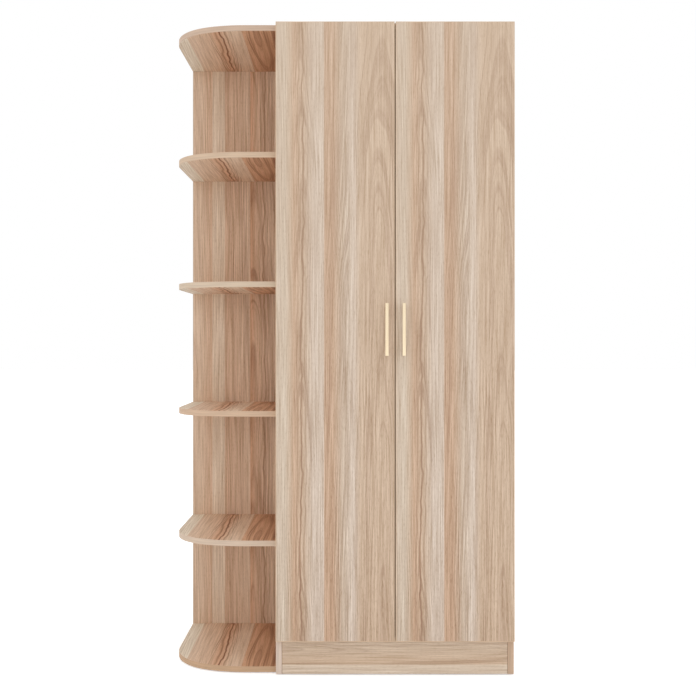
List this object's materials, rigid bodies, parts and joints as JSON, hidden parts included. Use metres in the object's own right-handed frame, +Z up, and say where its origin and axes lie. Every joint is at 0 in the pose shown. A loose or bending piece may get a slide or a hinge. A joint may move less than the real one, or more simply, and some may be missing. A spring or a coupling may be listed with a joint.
{
  "type": "corner wardrobe",
  "caption": "Corner wardrobe in pale wood laminate: cabinet with hinged doors, bar handles, a hanging rail and shelves inside, and open rounded corner shelves at its left end.",
  "frame": {"origin": "middle of the floor area under the whole wardrobe, handles included", "axes": "+X to the right seen from the front, +Y from the doors to the wall, +Z up"},
  "size_m": [1.06, 0.55, 2],
  "materials": {
    "oak_laminate": "satin melamine with printed grain",
    "back_sheet": "printed hardboard, matt",
    "beech": "raw turned beech",
    "champagne_brass": "satin champagne plating",
    "nickel_steel": "nickel plated",
    "zinc_steel": "bright zinc plated",
    "cast_zinc": "die cast, plain",
    "chrome_tube": "polished",
    "white_plastic": "extruded, matt",
    "grey_plastic": "moulded, matt",
    "clear_rubber": "clear, soft"
  },
  "bodies": {
    "cabinet": {"left_side_panel": "oak_laminate", "right_side_panel": "oak_laminate", "top_panel": "oak_laminate", "bottom_panel": "oak_laminate", "kick_board": "oak_laminate", "rear_plinth_rail": "oak_laminate", "hat_shelf": "oak_laminate", "shoe_shelf": "oak_laminate", "corner_back_board": "oak_laminate", "corner_base_shelf": "oak_laminate", "corner_shelf_1": "oak_laminate", "corner_shelf_2": "oak_laminate", "corner_shelf_3": "oak_laminate", "corner_shelf_4": "oak_laminate", "corner_top_shelf": "oak_laminate", "back_sheet_left": "back_sheet", "back_sheet_right": "back_sheet", "back_joint_strip": "white_plastic", "back_sheet_screws": "zinc_steel", "hanging_rail": "chrome_tube", "rail_sockets": "cast_zinc", "rail_socket_screws": "zinc_steel", "cam_locks": "cast_zinc", "cam_bolts": "zinc_steel", "wood_dowels": "beech", "anti_tip_brackets": "zinc_steel", "anti_tip_screws": "zinc_steel", "floor_glides": "grey_plastic", "corner_back_screws": "zinc_steel", "corner_side_screws": "zinc_steel", "left_hinge_plates": "nickel_steel", "left_hinge_arms": "nickel_steel", "left_arm_pins": "nickel_steel", "left_hinge_plate_screws": "nickel_steel", "left_hinge_arm_screws": "nickel_steel", "right_hinge_plates": "nickel_steel", "right_hinge_arms": "nickel_steel", "right_arm_pins": "nickel_steel", "right_hinge_plate_screws": "nickel_steel", "right_hinge_arm_screws": "nickel_steel"},
    "left_inner_links": {"left_inner_links": "nickel_steel"},
    "left_outer_links": {"left_outer_links": "nickel_steel"},
    "left_door": {"left_door": "oak_laminate", "left_hinge_cups": "nickel_steel", "left_cup_pins": "nickel_steel", "left_cup_screws": "nickel_steel", "left_handle": "champagne_brass", "left_handle_screws": "zinc_steel", "left_door_bumpers": "clear_rubber"},
    "right_inner_links": {"right_inner_links": "nickel_steel"},
    "right_outer_links": {"right_outer_links": "nickel_steel"},
    "right_door": {"right_door": "oak_laminate", "right_hinge_cups": "nickel_steel", "right_cup_pins": "nickel_steel", "right_cup_screws": "nickel_steel", "right_handle": "champagne_brass", "right_handle_screws": "zinc_steel", "right_door_bumpers": "clear_rubber"}
  },
  "joints": [
    {"name": "left_inner_link_turn", "type": "hinge", "parent": "cabinet", "child": "left_inner_links", "pos_m": [-0.15125, -0.2226, 0], "axis": [0, 0, 1], "range_deg": [0, 40.85]},
    {"name": "left_door_swing", "type": "hinge", "parent": "left_inner_links", "child": "left_door", "pos_m": [-0.18349, -0.22897, 0], "axis": [0, 0, -1], "range_deg": [0, 132.87]},
    {"name": "left_outer_link_turn", "type": "hinge", "parent": "cabinet", "child": "left_outer_links", "pos_m": [-0.14693, -0.217, 0], "axis": [0, 0, 1], "range_deg": [0, 22.55]},
    {"name": "right_inner_link_turn", "type": "hinge", "parent": "cabinet", "child": "right_inner_links", "pos_m": [0.48125, -0.2226, 0], "axis": [0, 0, -1], "range_deg": [0, 40.85]},
    {"name": "right_door_swing", "type": "hinge", "parent": "right_inner_links", "child": "right_door", "pos_m": [0.51349, -0.22897, 0], "axis": [0, 0, 1], "range_deg": [0, 132.87]},
    {"name": "right_outer_link_turn", "type": "hinge", "parent": "cabinet", "child": "right_outer_links", "pos_m": [0.47693, -0.217, 0], "axis": [0, 0, -1], "range_deg": [0, 22.55]}
  ],
  "couplings": [
    {"joint": "left_inner_link_turn", "follows": "left_door_swing", "ratio": 0.30707},
    {"joint": "left_outer_link_turn", "follows": "left_door_swing", "ratio": 0.16922},
    {"joint": "right_inner_link_turn", "follows": "right_door_swing", "ratio": 0.30707},
    {"joint": "right_outer_link_turn", "follows": "right_door_swing", "ratio": 0.16922}
  ]
}
